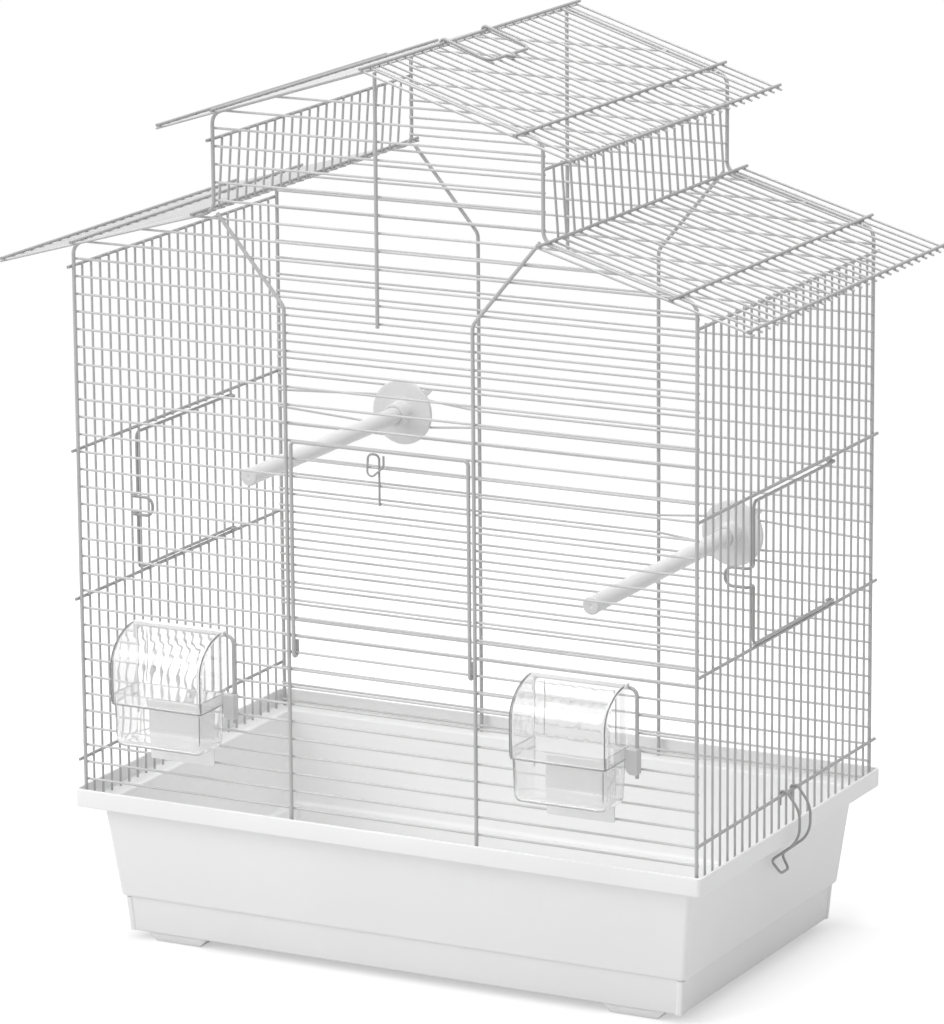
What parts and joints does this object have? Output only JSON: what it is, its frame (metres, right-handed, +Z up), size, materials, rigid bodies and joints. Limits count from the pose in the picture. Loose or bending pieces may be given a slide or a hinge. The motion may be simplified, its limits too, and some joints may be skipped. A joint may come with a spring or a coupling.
{
  "type": "bird cage",
  "caption": "House-shaped wire bird cage with a two-tier gabled roof in a stepped plastic tray, with wire doors, clear outside feeders, perches and a carry handle.",
  "frame": {"origin": "on the floor, under the middle of the whole cage with its feeders", "axes": "+X to the right along the front, +Y from the front to the back, +Z up"},
  "size_m": [0.5996, 0.3582, 0.6784],
  "materials": {
    "enamelled_wire": "satin",
    "tray_plastic": "satin",
    "clear_plastic": "clear gloss",
    "milky_plastic": "satin",
    "perch_plastic": "satin"
  },
  "bodies": {
    "cage": {"front_outline": "enamelled_wire", "front_uprights": "enamelled_wire", "front_cross_bars": "enamelled_wire", "feeder_frames": "enamelled_wire", "back_outline": "enamelled_wire", "back_uprights": "enamelled_wire", "back_cross_bars": "enamelled_wire", "left_wall_rails": "enamelled_wire", "left_wall_wires": "enamelled_wire", "right_wall_rails": "enamelled_wire", "right_wall_wires": "enamelled_wire", "left_upper_wall_rail": "enamelled_wire", "left_upper_wall_wires": "enamelled_wire", "right_upper_wall_rail": "enamelled_wire", "right_upper_wall_wires": "enamelled_wire", "upper_left_rafters": "enamelled_wire", "upper_left_roof_rails": "enamelled_wire", "upper_right_rafters": "enamelled_wire", "upper_right_roof_rails": "enamelled_wire", "lower_left_rafters": "enamelled_wire", "lower_left_roof_rails": "enamelled_wire", "lower_right_rafters": "enamelled_wire", "lower_right_roof_rails": "enamelled_wire", "ridge_rail": "enamelled_wire", "tray": "tray_plastic", "left_perch": "perch_plastic", "left_perch_flange": "perch_plastic", "left_perch_nut": "perch_plastic", "right_perch": "perch_plastic", "right_perch_flange": "perch_plastic", "right_perch_nut": "perch_plastic"},
    "front_door": {"front_door_frame": "enamelled_wire", "front_door_bars": "enamelled_wire", "front_door_catch": "enamelled_wire"},
    "left_door": {"left_door_frame": "enamelled_wire", "left_door_wires": "enamelled_wire"},
    "right_door": {"right_door_frame": "enamelled_wire", "right_door_wires": "enamelled_wire"},
    "left_latch": {"left_tray_latch": "enamelled_wire"},
    "right_latch": {"right_tray_latch": "enamelled_wire"},
    "handle": {"carry_handle": "enamelled_wire"},
    "left_feeder": {"left_feeder_cup": "clear_plastic", "left_feeder_hood": "clear_plastic", "left_feeder_clip": "milky_plastic", "left_feeder_back_plate": "milky_plastic"},
    "right_feeder": {"right_feeder_cup": "clear_plastic", "right_feeder_hood": "clear_plastic", "right_feeder_clip": "milky_plastic", "right_feeder_back_plate": "milky_plastic"}
  },
  "joints": [
    {"name": "front_door_hinge", "type": "hinge", "parent": "cage", "child": "front_door", "pos_m": [0, -0.13815, 0.243], "axis": [1, 0, 0], "range_deg": [0, 150]},
    {"name": "left_door_hinge", "type": "hinge", "parent": "cage", "child": "left_door", "pos_m": [-0.249, 0.08315, 0.318], "axis": [0, 0, -1], "range_deg": [0, 115]},
    {"name": "right_door_hinge", "type": "hinge", "parent": "cage", "child": "right_door", "pos_m": [0.249, 0.08315, 0.318], "axis": [0, 0, 1], "range_deg": [0, 115]},
    {"name": "left_latch_hinge", "type": "hinge", "parent": "cage", "child": "left_latch", "pos_m": [-0.251, 0.00865, 0.1417], "axis": [0, 1, 0], "range_deg": [0, 100]},
    {"name": "right_latch_hinge", "type": "hinge", "parent": "cage", "child": "right_latch", "pos_m": [0.251, 0.00865, 0.1417], "axis": [0, -1, 0], "range_deg": [0, 100]},
    {"name": "handle_hinge", "type": "hinge", "parent": "cage", "child": "handle", "pos_m": [0, -0.00415, 0.6745], "axis": [0, -1, 0], "range_deg": [0, 210]},
    {"name": "left_feeder_slide", "type": "slide", "parent": "cage", "child": "left_feeder", "axis": [0, -1, 0], "range_m": [0, 0.06]},
    {"name": "right_feeder_slide", "type": "slide", "parent": "cage", "child": "right_feeder", "axis": [0, -1, 0], "range_m": [0, 0.06]}
  ]
}
